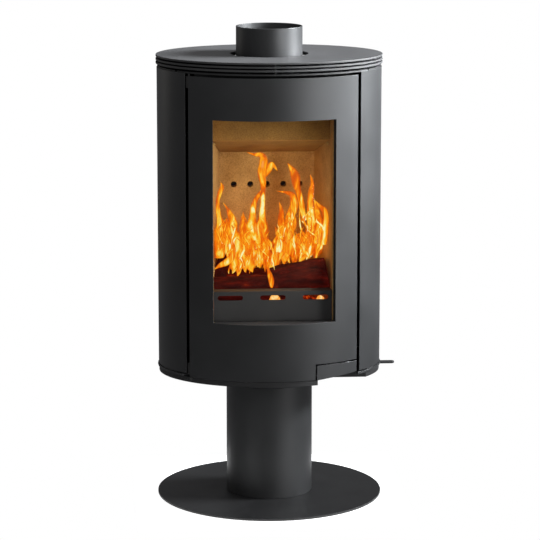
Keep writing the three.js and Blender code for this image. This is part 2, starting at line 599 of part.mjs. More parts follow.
// ---------- Door handle: a flap that turns on a straight shaft behind the curved plate ----------
const onSkin = (x) => new THREE.Vector2(x, -SKIN.b * Math.sqrt(1 - (x / SKIN.a) ** 2));
const handleStart = onSkin(HANDLE.left);
const handleEnd = onSkin(DOOR.half);
const chord = handleEnd.clone().sub(handleStart);
const chordAngle = Math.atan2(chord.y, chord.x);
const inward = new THREE.Vector2(-Math.sin(chordAngle), Math.cos(chordAngle));
const axisPoint = handleStart.clone().add(handleEnd).multiplyScalar(0.5)
  .addScaledVector(inward, HANDLE_AXIS.behind);
const axisZ = HANDLE.high - HANDLE_AXIS.below;

const handle = addGroup(door);
// Parts on the shaft are placed in a group whose +X runs along it and whose +Y points inward.
const shaftGroup = addGroup(handle, axisPoint.x, axisPoint.y, axisZ);
shaftGroup.rotation.z = chordAngle;
shaftGroup.updateMatrix();

function alongShaft(radius, from, to) {
  const geometry = new THREE.CylinderGeometry(radius, radius, to - from, 24);
  geometry.rotateZ(Math.PI / 2);
  geometry.translate((from + to) / 2, 0, 0);
  return geometry;
}
addPiece(shaftGroup, 'handle_shaft',
  toSolid(alongShaft(HANDLE_AXIS.shaft, -HANDLE_AXIS.half, HANDLE_AXIS.half)), 'zinc');
const springBore = alongShaft(HANDLE_AXIS.shaft + FIT, SPRING.start - 1, SPRING.end + 1);
addPiece(shaftGroup, 'return_spring',
  toSolid(alongShaft(SPRING.radius, SPRING.start, SPRING.end)).subtract(toSolid(springBore)), 'zinc');

// A block given along the shaft, inward from it and above it, turned into the body's own frame.
function shaftBlock(x0, x1, y0, y1, z0, z1) {
  const geometry = new THREE.BoxGeometry(x1 - x0, y1 - y0, z1 - z0);
  geometry.translate((x0 + x1) / 2, (y0 + y1) / 2, (z0 + z1) / 2);
  geometry.applyMatrix4(shaftGroup.matrix);
  return toSolid(geometry);
}

const beforeFrame = block(-FAR, FAR, -FAR, DOOR_FRAME.front - FIT, 0, FAR);
for (const [side, start] of Object.entries(BRACKET.starts)) {
  const end = start + BRACKET.width;
  const bore = alongShaft(HANDLE_AXIS.shaft + HANDLE_AXIS.play, start - 1, end + 1);
  bore.applyMatrix4(shaftGroup.matrix);
  addPiece(door, `handle_bracket_${side}`,
    shaftBlock(start, end, BRACKET.front, FAR, -BRACKET.half, BRACKET.half)
      .intersect(beforeFrame)
      .subtract(toSolid(bore)), 'darkPaint');
}

const tabHigh = -HANDLE_AXIS.shaft - FIT;
const insideSkin = ovalPlate(skinInner.a + 0.2, skinInner.b + 0.2, HANDLE.low, HANDLE.high);
const underShape = polygonShape([
  [HANDLE.left, HANDLE.low], [HANDLE.left, HANDLE.low - 5],
  [DOOR.half + 5, HANDLE.low - 5], [DOOR.half, HANDLE.lowRight],
]);
const underHandle = new THREE.ExtrudeGeometry(underShape, { depth: FAR, bevelEnabled: false });
underHandle.rotateX(Math.PI / 2);
let handlePlate = ovalSheet(HANDLE.low, HANDLE.high)
  .intersect(block(HANDLE.left, DOOR.half, -FAR, 0, HANDLE.low - 1, HANDLE.high + 1))
  .subtract(toSolid(underHandle));
for (const start of TAB.starts) {
  const tab = shaftBlock(start, start + TAB.width, TAB.front, TAB.back, TAB.low, tabHigh);
  handlePlate = handlePlate.add(tab.intersect(insideSkin));
}
addPiece(handle, 'handle_plate', handlePlate, 'paint');

const tongueHalf = LATCH.width / 2;
const tongueLow = axisZ - LATCH.height;
addPiece(handle, 'latch_tongue',
  block(LATCH.x - tongueHalf, LATCH.x + tongueHalf, LATCH.root, LATCH.reach, tongueLow, axisZ)
    .subtract(block(LATCH.x - FAR, LATCH.x + FAR, LATCH.reach - LATCH.tip, LATCH.reach + 1,
      tongueLow - 1, tongueLow + LATCH.nose)), 'castIron');

// ---------- Air control: a flat lever that turns a perforated disc over holes in the air box ----------
const airControl = addGroup(stove, LEVER.x, 0, 0);
const leverEnd = LEVER.tip - LEVER.x;
const leverHalf = LEVER.width / 2;
const leverShape = polygonShape([
  [0, -leverHalf], [leverEnd - LEVER.taper, -leverHalf], [leverEnd, LEVER.taper - leverHalf],
  [leverEnd, leverHalf - LEVER.taper], [leverEnd - LEVER.taper, leverHalf], [0, leverHalf],
]);
addPiece(airControl, 'air_lever',
  prism(leverShape, LEVER.low, LEVER.high)
    .add(rod(LEVER.hub, VALVE.high + FIT, LEVER.high))
    .subtract(rod(LEVER.pin + LEVER.play, VALVE.high - 1, LEVER.high + 1)), 'paint');

function airValve() {
  let disc = rod(VALVE.radius, VALVE.low, VALVE.high, 0, 0, 36)
    .subtract(rod(LEVER.pin + LEVER.play, VALVE.low - 1, VALVE.high + 1));
  for (let i = 0; i < VALVE.holes; i += 1) {
    const angle = (i * 2 * Math.PI) / VALVE.holes;
    disc = disc.subtract(rod(VALVE.holeRadius, VALVE.low - 1, VALVE.high + 1,
      VALVE.holeCircle * Math.cos(angle), VALVE.holeCircle * Math.sin(angle), 12));
  }
  return disc;
}
addPiece(airControl, 'air_valve', airValve(), 'zinc');
const headTop = AIR_BOX.low - FIT;
addPiece(body, 'lever_pin',
  rod(LEVER.pin, headTop - 1, LEVER.high)
    .add(rod(LEVER_HEAD.radius, headTop - LEVER_HEAD.height, headTop, 0, 0, LEVER_HEAD.sides)),
  'zinc', LEVER.x, 0);

export default stove;
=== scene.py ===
"""Wood burning stove: the looks of the oval pedestal stove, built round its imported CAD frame."""
import json
import math
import random

import bmesh
import bpy
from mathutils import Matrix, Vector, noise

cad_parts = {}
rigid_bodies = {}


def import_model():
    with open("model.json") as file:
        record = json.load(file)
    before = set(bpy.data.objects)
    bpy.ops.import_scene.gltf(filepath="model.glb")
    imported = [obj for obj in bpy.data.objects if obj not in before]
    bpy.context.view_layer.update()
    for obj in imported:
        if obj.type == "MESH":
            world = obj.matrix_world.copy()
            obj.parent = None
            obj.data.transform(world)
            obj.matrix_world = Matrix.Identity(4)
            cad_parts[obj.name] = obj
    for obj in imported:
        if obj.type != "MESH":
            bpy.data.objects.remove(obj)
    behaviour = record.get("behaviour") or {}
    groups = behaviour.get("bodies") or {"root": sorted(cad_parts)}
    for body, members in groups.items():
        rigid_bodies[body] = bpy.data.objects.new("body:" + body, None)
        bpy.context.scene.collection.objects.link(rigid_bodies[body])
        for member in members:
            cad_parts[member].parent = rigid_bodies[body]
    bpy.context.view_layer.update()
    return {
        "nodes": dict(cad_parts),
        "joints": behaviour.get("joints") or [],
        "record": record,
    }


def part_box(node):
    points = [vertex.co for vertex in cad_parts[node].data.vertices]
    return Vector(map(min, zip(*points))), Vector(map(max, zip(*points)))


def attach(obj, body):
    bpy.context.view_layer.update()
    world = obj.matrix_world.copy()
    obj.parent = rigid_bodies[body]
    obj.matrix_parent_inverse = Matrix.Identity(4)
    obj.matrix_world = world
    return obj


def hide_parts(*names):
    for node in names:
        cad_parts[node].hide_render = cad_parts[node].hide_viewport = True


for leftover in list(bpy.data.objects):
    bpy.data.objects.remove(leftover)
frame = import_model()

MM = 0.001
record = frame["record"]
body_of = {n: body for body, names in record["behaviour"]["bodies"].items() for n in names}
slot_of = {part["node"]: part["material_slot"] for part in record["subparts"]}
joint_of = {joint["name"]: joint for joint in frame["joints"]}


# ---------- Camera and framing ----------
CAMERA_PLACE = Vector((-0.401, -5.761, 1.642))
CAMERA_PITCH = math.radians(10.99)
CAMERA_YAW = math.radians(4.0)
FOCAL_LENGTH = 171.33
SENSOR_WIDTH = 36.0
FAR_CLIP = 50.0


def add_camera():
    data = bpy.data.cameras.new("camera")
    data.lens = FOCAL_LENGTH
    data.sensor_width = SENSOR_WIDTH
    data.clip_end = FAR_CLIP
    camera = bpy.data.objects.new("camera", data)
    camera.location = CAMERA_PLACE
    camera.rotation_euler = (math.pi / 2 - CAMERA_PITCH, 0.0, -CAMERA_YAW)
    bpy.context.scene.collection.objects.link(camera)
    bpy.context.scene.camera = camera


# ---------- Material helpers ----------
# The sockets of a Mix node that mixes colours: its inputs A and B, and its output.
MIX_A, MIX_B, MIX_OUT = 6, 7, 2


def start_material(name, inputs=None):
    """A new material with its node tree and its shader, whose named inputs are set."""
    material = bpy.data.materials.new(name)
    material.use_nodes = True
    tree = material.node_tree
    shader = tree.nodes["Principled BSDF"]
    for socket, value in (inputs or {}).items():
        shader.inputs[socket].default_value = value
    return material, tree, shader


def add_node(tree, kind, inputs=None, **settings):
    made = tree.nodes.new(kind)
    for name, value in settings.items():
        setattr(made, name, value)
    for name, value in (inputs or {}).items():
        made.inputs[name].default_value = value
    return made


def coordinates(tree, stretch=(1.0, 1.0, 1.0)):
    """The piece's own coordinates, in metres, scaled along each axis."""
    source = add_node(tree, "ShaderNodeTexCoord")
    mapping = add_node(tree, "ShaderNodeMapping", {"Scale": stretch})
    tree.links.new(source.outputs["Object"], mapping.inputs["Vector"])
    return mapping.outputs["Vector"]


def noise_value(tree, vector, scale, detail=3.0, roughness=0.5):
    texture = add_node(tree, "ShaderNodeTexNoise", {
        "Scale": scale, "Detail": detail, "Roughness": roughness})
    tree.links.new(vector, texture.inputs["Vector"])
    return texture.outputs["Fac"]


def ramp(tree, value, stops):
    """Turns a value into a colour, through stops of (position, colour)."""
    made = add_node(tree, "ShaderNodeValToRGB")
    elements = made.color_ramp.elements
    elements.remove(elements[1])
    elements[0].position = stops[0][0]
    elements[0].color = (*stops[0][1], 1.0)
    for spot, colour in stops[1:]:
        elements.new(spot).color = (*colour, 1.0)
    tree.links.new(value, made.inputs["Fac"])
    return made.outputs["Color"]


def remap(tree, value, low, high, from_low=0.3, from_high=0.7):
    """Moves a value from one range to another, held at its ends."""
    made = add_node(tree, "ShaderNodeMapRange", {
        "From Min": from_low, "From Max": from_high, "To Min": low, "To Max": high})
    tree.links.new(value, made.inputs["Value"])
    return made.outputs["Result"]


def bump(tree, shader, height, strength, distance):
    made = add_node(tree, "ShaderNodeBump", {"Strength": strength, "Distance": distance})
    tree.links.new(height, made.inputs["Height"])
    tree.links.new(made.outputs["Normal"], shader.inputs["Normal"])


def paint(name, dark, light, rough_low, rough_high, grain=0.12):
    """Heat-resistant stove paint: a fine sprayed texture with faint cloudy variation."""
    material, tree, shader = start_material(name)
    vector = coordinates(tree)
    cloud = noise_value(tree, vector, 9.0, 4.0)
    speck = noise_value(tree, vector, 1400.0, 2.0)
    tree.links.new(ramp(tree, cloud, [(0.3, dark), (0.7, light)]), shader.inputs["Base Color"])
    tree.links.new(remap(tree, cloud, rough_low, rough_high), shader.inputs["Roughness"])
    bump(tree, shader, speck, grain, 0.0002)
    return material


def metal(name, dark, light, rough_low, rough_high, scale, grain, metallic=1.0):
    """Bare metal, patchy in colour and finely uneven in gloss."""
    material, tree, shader = start_material(name, {"Metallic": metallic})
    vector = coordinates(tree)
    patch = noise_value(tree, vector, scale, 5.0, 0.6)
    fine = noise_value(tree, vector, scale * 9.0, 3.0)
    tree.links.new(ramp(tree, patch, [(0.3, dark), (0.7, light)]), shader.inputs["Base Color"])
    tree.links.new(remap(tree, fine, rough_low, rough_high), shader.inputs["Roughness"])
    bump(tree, shader, fine, grain, 0.0004)
    return material


# Painted shade: a dark veil over the baffle's underside behind depth y. Its colour, its share and the depth
# over which it fades in.
SHADE_VEIL_COLOUR = (0.03, 0.05, 0.02, 1.0)
SHADE_VEIL_SHARE = 0.3
SHADE_VEIL_FADE = 0.006


def vermiculite(name, dark, light, shaded_from=None):
    """Pressed vermiculite board: golden tan with fine flakes and pores, and, behind a depth y, darkened by a
    veil of painted shade.
    """
    material, tree, shader = start_material(name, {"Roughness": 0.9})
    vector = coordinates(tree)
    cloud = noise_value(tree, vector, 24.0, 5.0, 0.6)
    flakes = add_node(tree, "ShaderNodeTexVoronoi", {"Scale": 330.0, "Randomness": 1.0})
    tree.links.new(vector, flakes.inputs["Vector"])
    grain = noise_value(tree, vector, 420.0, 3.0, 0.7)
    base = ramp(tree, cloud, [(0.3, dark), (0.7, light)])
    spark = ramp(tree, grain, [
        (0.35, (0.72, 0.66, 0.58)), (0.5, (1.0, 1.0, 1.0)), (0.7, (1.22, 1.18, 1.05))])
    mix = add_node(tree, "ShaderNodeMix", data_type="RGBA", blend_type="MULTIPLY")
    mix.inputs["Factor"].default_value = 1.0
    tree.links.new(base, mix.inputs[MIX_A])
    tree.links.new(spark, mix.inputs[MIX_B])
    colour = mix.outputs[MIX_OUT]
    # Painted shade: behind depth y a dark veil is mixed into the colour.
    if shaded_from is not None:
        axes = add_node(tree, "ShaderNodeSeparateXYZ")
        tree.links.new(vector, axes.inputs["Vector"])
        soot_and_shade = remap(tree, axes.outputs["Y"], 0.0, SHADE_VEIL_SHARE, shaded_from, shaded_from + SHADE_VEIL_FADE)
        veil = add_node(tree, "ShaderNodeMix", data_type="RGBA")
        veil.inputs[MIX_B].default_value = SHADE_VEIL_COLOUR
        tree.links.new(soot_and_shade, veil.inputs["Factor"])
        tree.links.new(colour, veil.inputs[MIX_A])
        colour = veil.outputs[MIX_OUT]
    tree.links.new(colour, shader.inputs["Base Color"])
    bump(tree, shader, flakes.outputs["Distance"], 0.35, 0.0006)
    return material


def rope():
    """Grey glass-fibre rope, sooted in patches."""
    material, tree, shader = start_material("rope", {"Roughness": 0.95})
    vector = coordinates(tree)
    fibres = noise_value(tree, vector, 900.0, 4.0, 0.7)
    soot_and_shade = noise_value(tree, vector, 30.0, 3.0)
    tree.links.new(ramp(tree, soot_and_shade, [(0.35, (0.10, 0.095, 0.09)), (0.7, (0.33, 0.32, 0.30))]),
                   shader.inputs["Base Color"])
    bump(tree, shader, fibres, 0.6, 0.0006)
    return material


def glass():
    """Clear ceramic glass: almost nothing but its sheen, which a faint smear varies."""
    material, tree, shader = start_material("door_glass", {
        "Base Color": (0.02, 0.022, 0.022, 1.0), "Alpha": 0.03})
    smear = noise_value(tree, coordinates(tree), 6.0, 4.0)
    tree.links.new(remap(tree, smear, 0.02, 0.07), shader.inputs["Roughness"])
    return material


def charred_wood():
    """Burning log: black-brown bark with a deep red glow between its ridges."""
    material, tree, shader = start_material("charred_wood", {
        "Emission Strength": 0.8, "Specular IOR Level": 0.12, "Roughness": 0.9})
    vector = coordinates(tree, (0.3, 1.0, 1.0))
    bark = noise_value(tree, vector, 70.0, 6.0, 0.62)
    tree.links.new(ramp(tree, bark, [(0.3, (0.006, 0.001, 0.001)), (0.7, (0.026, 0.004, 0.002))]),
                   shader.inputs["Base Color"])
    glow = ramp(tree, bark, [(0.36, (0.014, 0.0006, 0.0004)), (0.55, (0.050, 0.0016, 0.0008)),
                             (0.66, (0.11, 0.004, 0.001)), (0.80, (0.42, 0.04, 0.003))])
    tree.links.new(glow, shader.inputs["Emission Color"])
    bump(tree, shader, bark, 0.8, 0.003)
    return material


def embers():
    """Ash and embers: grey lumps, red to yellow where they glow."""
    material, tree, shader = start_material("embers", {"Emission Strength": 1.6, "Roughness": 0.95})
    vector = coordinates(tree)
    lumps = noise_value(tree, vector, 60.0, 5.0, 0.6)
    tree.links.new(ramp(tree, lumps, [(0.3, (0.02, 0.015, 0.012)), (0.7, (0.16, 0.13, 0.11))]),
                   shader.inputs["Base Color"])
    glow = ramp(tree, lumps, [(0.42, (0.02, 0.0, 0.0)), (0.54, (0.20, 0.008, 0.0)),
                              (0.64, (0.85, 0.14, 0.006)), (0.76, (1.0, 0.6, 0.2))])
    tree.links.new(glow, shader.inputs["Emission Color"])
    bump(tree, shader, lumps, 0.8, 0.004)
    return material


def hot_coal_material():
    """A coal that glows all over, from orange to pale yellow."""
    material, tree, shader = start_material("hot_coal", {
        "Base Color": (0.05, 0.02, 0.01, 1.0), "Emission Strength": 1.1, "Roughness": 0.9})
    lumps = noise_value(tree, coordinates(tree), 120.0, 4.0, 0.6)
    glow = ramp(tree, lumps, [
        (0.3, (0.9, 0.10, 0.006)), (0.5, (1.0, 0.40, 0.05)), (0.72, (1.0, 0.80, 0.40))])
    tree.links.new(glow, shader.inputs["Emission Color"])
    return material


def flame_material():
    """Glowing gas: the mesh's glow attribute runs from 0 at a tongue's rim to 1 at its core."""
    material, tree, shader = start_material("flame", {
        "Base Color": (0.0, 0.0, 0.0, 1.0), "Specular IOR Level": 0.0, "Roughness": 1.0,
        "Emission Strength": 1.0})
    glow = add_node(tree, "ShaderNodeAttribute", attribute_name="glow")
    wisps = add_node(tree, "ShaderNodeTexNoise", {
        "Scale": 62.0, "Detail": 3.0, "Roughness": 0.5, "Distortion": 1.4})
    tree.links.new(coordinates(tree, (1.0, 1.0, 0.34)), wisps.inputs["Vector"])
    swing = remap(tree, wisps.outputs["Fac"], -0.5, 0.46, 0.32, 0.68)
    total = add_node(tree, "ShaderNodeMath", operation="ADD", use_clamp=True)
    tree.links.new(glow.outputs["Fac"], total.inputs[0])
    tree.links.new(swing, total.inputs[1])
    colour = ramp(tree, total.outputs[0], [
        (0.0, (0.78, 0.085, 0.001)), (0.25, (0.95, 0.17, 0.003)), (0.5, (1.0, 0.34, 0.008)),
        (0.72, (1.0, 0.55, 0.035)), (0.9, (1.0, 0.80, 0.19)), (1.0, (1.0, 0.92, 0.46))])
    tree.links.new(colour, shader.inputs["Emission Color"])
    rim = remap(tree, glow.outputs["Fac"], 0.0, 1.0, 0.0, 0.3)
    body = remap(tree, total.outputs[0], 0.45, 0.97, 0.0, 0.5)
    solidity = add_node(tree, "ShaderNodeMath", operation="MULTIPLY")
    tree.links.new(rim, solidity.inputs[0])
    tree.links.new(body, solidity.inputs[1])
    tree.links.new(solidity.outputs[0], shader.inputs["Alpha"])
    return material


MATERIALS = {
    "body_paint": paint("body_paint", (0.017, 0.0175, 0.018), (0.023, 0.0235, 0.0245), 0.4, 0.46),
    "dark_paint": paint("dark_paint", (0.010, 0.010, 0.0105), (0.015, 0.015, 0.0155), 0.5, 0.6, 0.2),
    "top_paint": paint("top_paint", (0.030, 0.030, 0.031), (0.040, 0.040, 0.041), 0.56, 0.66),
    "cast_iron": metal("cast_iron", (0.03, 0.03, 0.031), (0.07, 0.068, 0.066), 0.55, 0.75, 60.0, 0.5, 0.6),
    "zinc_steel": metal("zinc_steel", (0.32, 0.32, 0.33), (0.55, 0.55, 0.56), 0.28, 0.42, 120.0, 0.1),
    "vermiculite": vermiculite("vermiculite", (0.46, 0.29, 0.098), (0.64, 0.42, 0.16)),
    # The baffle's darker copy of the vermiculite is painted shade, with a further veil of painted shade
    # behind depth y.
    "shaded_vermiculite": vermiculite(
        "shaded_vermiculite", (0.34, 0.165, 0.034), (0.46, 0.235, 0.052), -0.056),
    # The log guard's lighter copy of the body paint is painted light.
    "lightened_paint": paint("lightened_paint", (0.040, 0.039, 0.038), (0.054, 0.052, 0.051), 0.5, 0.6),
    "glass_fibre_rope": rope(),
    "door_glass": glass(),
    "charred_wood": charred_wood(),
    "embers": embers(),
    "hot_coal": hot_coal_material(),
    "flame": flame_material(),
}

# Nodes shown in lit or shaded copies of their finish: the baffle in a darker vermiculite, painted shade, and
# the log guard in a lighter paint, painted light.
LIT_AND_SHADED_COPIES = {"baffle": "shaded_vermiculite", "log_guard": "lightened_paint"}


# ---------- Mesh helpers ----------
SHARP_ANGLE = math.radians(35.0)
MERGE_DISTANCE = 1e-6
CAD_MERGE_DISTANCE = 2e-6
FLAT_ANGLE = math.radians(0.6)


def add_mesh(name, verts, faces):
    mesh = bpy.data.meshes.new(name)
    mesh.from_pydata([tuple(v) for v in verts], [], faces)
    mesh.validate()
    piece = bpy.data.objects.new(name, mesh)
    bpy.context.scene.collection.objects.link(piece)
    return piece


def make_solid(piece):
    """Merges doubled vertices, drops unused ones and turns every face outward."""
    work = bmesh.new()
    work.from_mesh(piece.data)
    bmesh.ops.remove_doubles(work, verts=work.verts, dist=MERGE_DISTANCE)
    bmesh.ops.delete(work, geom=[v for v in work.verts if not v.link_faces], context="VERTS")
    bmesh.ops.recalc_face_normals(work, faces=work.faces)
    work.to_mesh(piece.data)
    work.free()
    return piece


def smooth(piece, angle):
    """Shades a piece smooth, but for edges sharper than an angle in degrees."""
    piece.data.shade_smooth()
    piece.data.set_sharp_from_angle(angle=math.radians(angle))
    return piece


def soften_edges(piece, width_mm, segments=2):
    """Rounds the sharp edges and keeps the flats flat."""
    piece.data.shade_smooth()
    edge = piece.modifiers.new("edges", "BEVEL")
    edge.width = width_mm * MM
    edge.segments = segments
    edge.limit_method = "ANGLE"
    edge.angle_limit = SHARP_ANGLE
    edge.harden_normals = True
    edge.use_clamp_overlap = True
    return piece


def place(piece, body, material):
    """Gives a piece its material and its body."""
    piece.data.materials.clear()
    piece.data.materials.append(material)
    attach(piece, body)
    return piece


def stand_for(piece, node):
    """The piece is shown in place of a CAD node, on its body and in its finish."""
    slot = slot_of[node]
    place(piece, body_of[node], MATERIALS[LIT_AND_SHADED_COPIES.get(node, slot)])
    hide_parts(node)


def refine(node, width_mm):
    """A clean copy of a CAD node with its flats merged and its edges rounded."""
    mesh = frame["nodes"][node].data.copy()
    piece = bpy.data.objects.new("fine_" + node, mesh)
    bpy.context.scene.collection.objects.link(piece)
    work = bmesh.new()
    work.from_mesh(mesh)
    bmesh.ops.remove_doubles(work, verts=work.verts, dist=CAD_MERGE_DISTANCE)
    bmesh.ops.dissolve_limit(work, angle_limit=FLAT_ANGLE, verts=work.verts, edges=work.edges)
    bmesh.ops.recalc_face_normals(work, faces=work.faces)
    work.to_mesh(mesh)
    work.free()
    if mesh.has_custom_normals:
        mesh.attributes.remove(mesh.attributes["custom_normal"])
    stand_for(soften_edges(piece, width_mm), node)


# ---------- Oval and turned shapes ----------
SKIN_A = (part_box("side_panel_right")[1].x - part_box("side_panel_left")[0].x) / 2
SKIN_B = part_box("rear_panel")[1].y
RIM_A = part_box("top_plate")[1].x
RIM_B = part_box("top_plate")[1].y
SHEET = 2 * MM
ANGLE_STEP = math.radians(1.5)
HEIGHT_STEP = 0.06


def oval_point(a, b, angle, inset=0.0):
    """A point of an oval, with the angle from the front towards +X, moved inward along its normal."""
    outward = Vector((b * math.sin(angle), -a * math.cos(angle))).normalized()
    return Vector((a * math.sin(angle), -b * math.cos(angle))) - outward * inset


def angle_at(x, a, rear=False):
    """The angle of an oval's point at x, on its front half or its rear half."""
    angle = math.asin(x / a)
    return math.pi - angle if rear else angle


def spread(breaks, step):
    """Values from the first break to the last, with each break kept and even steps between."""
    values = []
    for low, high in zip(breaks, breaks[1:]):
        count = max(1, math.ceil(abs(high - low) / step))
        values += [low + (high - low) * i / count for i in range(count)]
    return values + [breaks[-1]]


def curved_sheet(name, angle_breaks, z_breaks, hollow=None):
    """A sheet on the oval skin, with the cells that hollow(x, z) names left out."""
    angles = spread(angle_breaks, ANGLE_STEP)
    heights = spread(z_breaks, HEIGHT_STEP)
    rows = len(heights)
    verts = []
    for inset in (0.0, SHEET):
        for angle in angles:
            point = oval_point(SKIN_A, SKIN_B, angle, inset)
            verts += [(point.x, point.y, z) for z in heights]
    inner = len(angles) * rows

    def filled(i, j):
        if not (0 <= i < len(angles) - 1 and 0 <= j < rows - 1):
            return False
        middle = oval_point(SKIN_A, SKIN_B, (angles[i] + angles[i + 1]) / 2)
        return not (hollow and hollow(middle.x, (heights[j] + heights[j + 1]) / 2))

    faces = []
    for i in range(len(angles) - 1):
        for j in range(rows - 1):
            if not filled(i, j):
                continue
            low_left, low_right = i * rows + j, (i + 1) * rows + j
            corners = [low_left, low_right, low_right + 1, low_left + 1]
            faces.append(corners)
            faces.append([c + inner for c in reversed(corners)])
            sides = [(i, j - 1, 0, 1), (i + 1, j, 1, 2), (i, j + 1, 2, 3), (i - 1, j, 3, 0)]
            for next_i, next_j, start, end in sides:
                if not filled(next_i, next_j):
                    first, last = corners[start], corners[end]
                    faces.append([last, first, first + inner, last + inner])
    return make_solid(add_mesh(name, verts, faces))


def loft(name, rings):
    """A closed band of quads through rings of equal count, and back from the last ring to the first."""
    count = len(rings[0])
    verts = [v for ring in rings for v in ring]
    faces = []
    for r in range(len(rings)):
        here, there = r * count, ((r + 1) % len(rings)) * count
        for i in range(count):
            j = (i + 1) % count
            faces.append([here + i, here + j, there + j, there + i])
    return make_solid(add_mesh(name, verts, faces))


def oval_ring(a, b, z, count=180):
    """Points round an oval at a height z, from the front towards +X."""
    turns = [2 * math.pi * i / count for i in range(count)]
    return [(a * math.sin(t), -b * math.cos(t), z) for t in turns]


def turned(name, profile, count=128):
    """A turned piece from a closed (radius, z) profile in metres; radius 0 makes a flat cap."""
    rings = [oval_ring(radius, radius, z, count) for radius, z in profile if radius > 0]
    if all(radius > 0 for radius, _ in profile):
        return loft(name, rings)
    verts = [v for ring in rings for v in ring]
    faces = [list(range(count))[::-1], [(len(rings) - 1) * count + i for i in range(count)]]
    for r in range(len(rings) - 1):
        for i in range(count):
            j = (i + 1) % count
            faces.append([r * count + i, r * count + j, (r + 1) * count + j, (r + 1) * count + i])
    return make_solid(add_mesh(name, verts, faces))


STEEP = 0.2


def tube(name, path, across, up, sides, closed=False, swell=None):
    """A tube along a path; across and up are its half sizes, and swell(step, turn) scales each vertex."""
    count = len(path)
    verts = []
    for i, point in enumerate(path):
        before = path[i - 1] if (i or closed) else path[i]
        after = path[(i + 1) % count] if (i < count - 1 or closed) else path[i]
        along = (after - before).normalized()
        side = along.cross(Vector((0.0, 1.0, 0.0)))
        if side.length < STEEP:
            side = along.cross(Vector((0.0, 0.0, 1.0)))
        side.normalize()
        over = side.cross(along)
        for k in range(sides):
            turn = 2 * math.pi * k / sides
            scale = swell(i, turn) if swell else 1.0
            verts.append(point + (side * math.cos(turn) * across + over * math.sin(turn) * up) * scale)
    faces = []
    for i in range(count if closed else count - 1):
        j = (i + 1) % count
        for k in range(sides):
            n = (k + 1) % sides
            faces.append([i * sides + k, i * sides + n, j * sides + n, j * sides + k])
    if not closed:
        faces.append(list(range(sides))[::-1])
        faces.append([(count - 1) * sides + k for k in range(sides)])
    return make_solid(add_mesh(name, verts, faces))


# ---------- Pedestal ----------
COLUMN_WALL = 3 * MM
SEAM_RING_WIDTH = 30 * MM
HEAD_HOLE = 60 * MM
HEAD_LIP = 5 * MM


def pedestal():
    low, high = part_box("base_plate")
    foot = turned("foot_plate", [(0, low.z), (high.x, low.z), (high.x, high.z), (0, high.z)], 160)
    stand_for(soften_edges(foot, 0.8, 3), "base_plate")
    for node, width in [("pedestal_column", COLUMN_WALL), ("column_seam_ring", SEAM_RING_WIDTH)]:
        low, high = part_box(node)
        inner = high.x - width
        band = turned("fine_" + node, [(inner, low.z), (high.x, low.z), (high.x, high.z), (inner, high.z)])
        stand_for(soften_edges(band, 0.8, 3), node)
    low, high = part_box("column_head")
    inner = high.x - COLUMN_WALL
    head = turned("fine_column_head", [
        (inner, low.z), (high.x, low.z), (high.x, high.z), (HEAD_HOLE, high.z),
        (HEAD_HOLE, high.z - HEAD_LIP), (inner, high.z - HEAD_LIP)])
    stand_for(soften_edges(head, 0.8, 3), "column_head")


# ---------- Outer sheets ----------
PANEL_FRONT_X = 195.4 * MM
PANEL_REAR_X = 150 * MM


def side_panels():
    low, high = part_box("side_panel_right")
    start, end = angle_at(PANEL_FRONT_X, SKIN_A), angle_at(PANEL_REAR_X, SKIN_A, True)
    for side, angles in [("right", [start, end]), ("left", [-end, -start])]:
        panel = curved_sheet("fine_side_panel_" + side, angles, [low.z, high.z])
        stand_for(soften_edges(panel, 0.5), "side_panel_" + side)


# The rear panel's slots: their lower edges and height in millimetres, and half their length in metres.
SLOT_LOW = [345, 365, 385, 405, 425]
SLOT_HEIGHT = 6
SLOT_HALF = 0.070


def rear_panel():
    low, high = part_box("rear_panel")
    edge = angle_at(high.x, SKIN_A, True)
    slot_edge = angle_at(SLOT_HALF, SKIN_A, True)
    breaks = [low.z]
    for z in SLOT_LOW:
        breaks += [z * MM, (z + SLOT_HEIGHT) * MM]
    breaks.append(high.z)

    def slotted(x, z):
        return abs(x) < SLOT_HALF and any(s * MM < z < (s + SLOT_HEIGHT) * MM for s in SLOT_LOW)

    panel = curved_sheet("fine_rear_panel", [edge, slot_edge, 2 * math.pi - slot_edge, 2 * math.pi - edge],
                         breaks, slotted)
    stand_for(soften_edges(panel, 0.4), "rear_panel")


TOP_HOLE = 87.5 * MM
LOUVRE_WIDTH = 40 * MM
COLLAR_OUTER = 75 * MM
COLLAR_INNER = 72 * MM
COLLAR_FLANGE = 3 * MM


def top_pieces():
    low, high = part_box("top_plate")
    plate = loft("fine_top_plate", [
        oval_ring(RIM_A, RIM_B, low.z), oval_ring(RIM_A, RIM_B, high.z),
        oval_ring(TOP_HOLE, TOP_HOLE, high.z), oval_ring(TOP_HOLE, TOP_HOLE, low.z)])
    stand_for(soften_edges(plate, 1.0, 3), "top_plate")
    inner_a, inner_b = RIM_A - LOUVRE_WIDTH, RIM_B - LOUVRE_WIDTH
    for node in ("louvre_ring_lower", "louvre_ring_upper"):
        low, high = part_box(node)
        slat = loft("fine_" + node, [
            oval_ring(RIM_A, RIM_B, low.z), oval_ring(RIM_A, RIM_B, high.z),
            oval_ring(inner_a, inner_b, high.z), oval_ring(inner_a, inner_b, low.z)])
        stand_for(soften_edges(slat, 0.8, 3), node)
    low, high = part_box("flue_collar")
    flange_top = low.z + COLLAR_FLANGE
    collar = turned("fine_flue_collar", [
        (COLLAR_INNER, low.z), (high.x, low.z), (high.x, flange_top), (COLLAR_OUTER, flange_top),
        (COLLAR_OUTER, high.z), (COLLAR_INNER, high.z)])
    stand_for(soften_edges(collar, 0.8, 3), "flue_collar")


